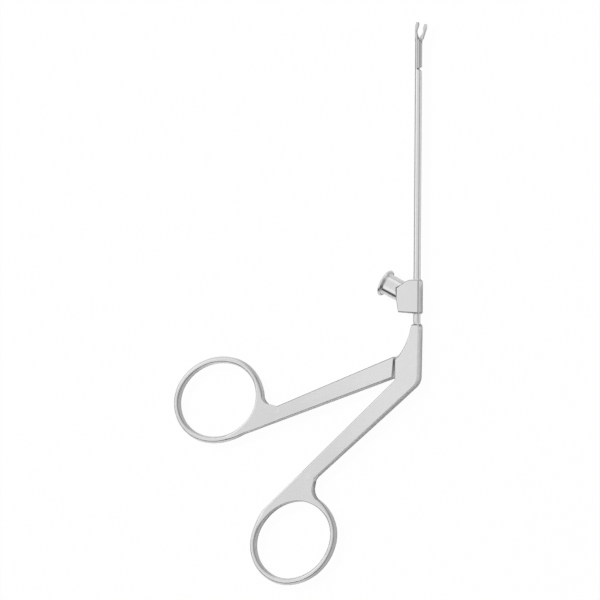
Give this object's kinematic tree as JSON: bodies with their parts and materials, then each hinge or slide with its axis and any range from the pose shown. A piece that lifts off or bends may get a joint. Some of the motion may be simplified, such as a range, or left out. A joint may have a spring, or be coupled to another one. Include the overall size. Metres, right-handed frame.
{
  "type": "ear forceps",
  "caption": "Slim tubular ear forceps with finger rings, a flushing port and one small jaw opened and closed by a rod in the shaft.",
  "frame": {"origin": "On the shaft axis, in the front face of the port block, where the free shaft begins.", "axes": "+Y along the shaft towards the jaws, +Z out of the flat side away from the pivot screw's head, +X to the side away from the finger rings; shown with the jaws open."},
  "size_m": [0.0745, 0.1575, 0.0078],
  "materials": {
    "satin_steel": "fine satin ground stainless steel",
    "bright_steel": "bright polished stainless steel"
  },
  "bodies": {
    "frame": {"fixed_handle": "satin_steel", "pivot_screw": "satin_steel", "shaft_tube": "bright_steel", "rod_bush": "bright_steel", "port_block": "satin_steel", "luer_socket": "bright_steel", "fixed_jaw": "bright_steel", "jaw_pin": "bright_steel"},
    "lever": {"moving_handle": "satin_steel", "drive_pin": "bright_steel"},
    "rod": {"push_rod": "bright_steel", "rod_eye": "bright_steel", "jaw_slider": "bright_steel"},
    "jaw": {"moving_jaw": "bright_steel", "link_pin": "bright_steel"}
  },
  "joints": [
    {"name": "handle_hinge", "type": "hinge", "parent": "frame", "child": "lever", "pos_m": [-0.0023, -0.02315, 0], "axis": [0, 0, 1], "range_deg": [0, 10]},
    {"name": "rod_slide", "type": "slide", "parent": "frame", "child": "rod", "axis": [0, 1, 0], "range_m": [0, 0.000401]},
    {"name": "jaw_hinge", "type": "hinge", "parent": "frame", "child": "jaw", "pos_m": [-0.00045, 0.06725, 0], "axis": [0, 0, 1], "range_deg": [0, 21]}
  ],
  "couplings": [
    {"joint": "rod_slide", "follows": "handle_hinge", "m_per_rad": 0.0022971},
    {"joint": "jaw_hinge", "follows": "handle_hinge", "ratio": 2.1}
  ]
}
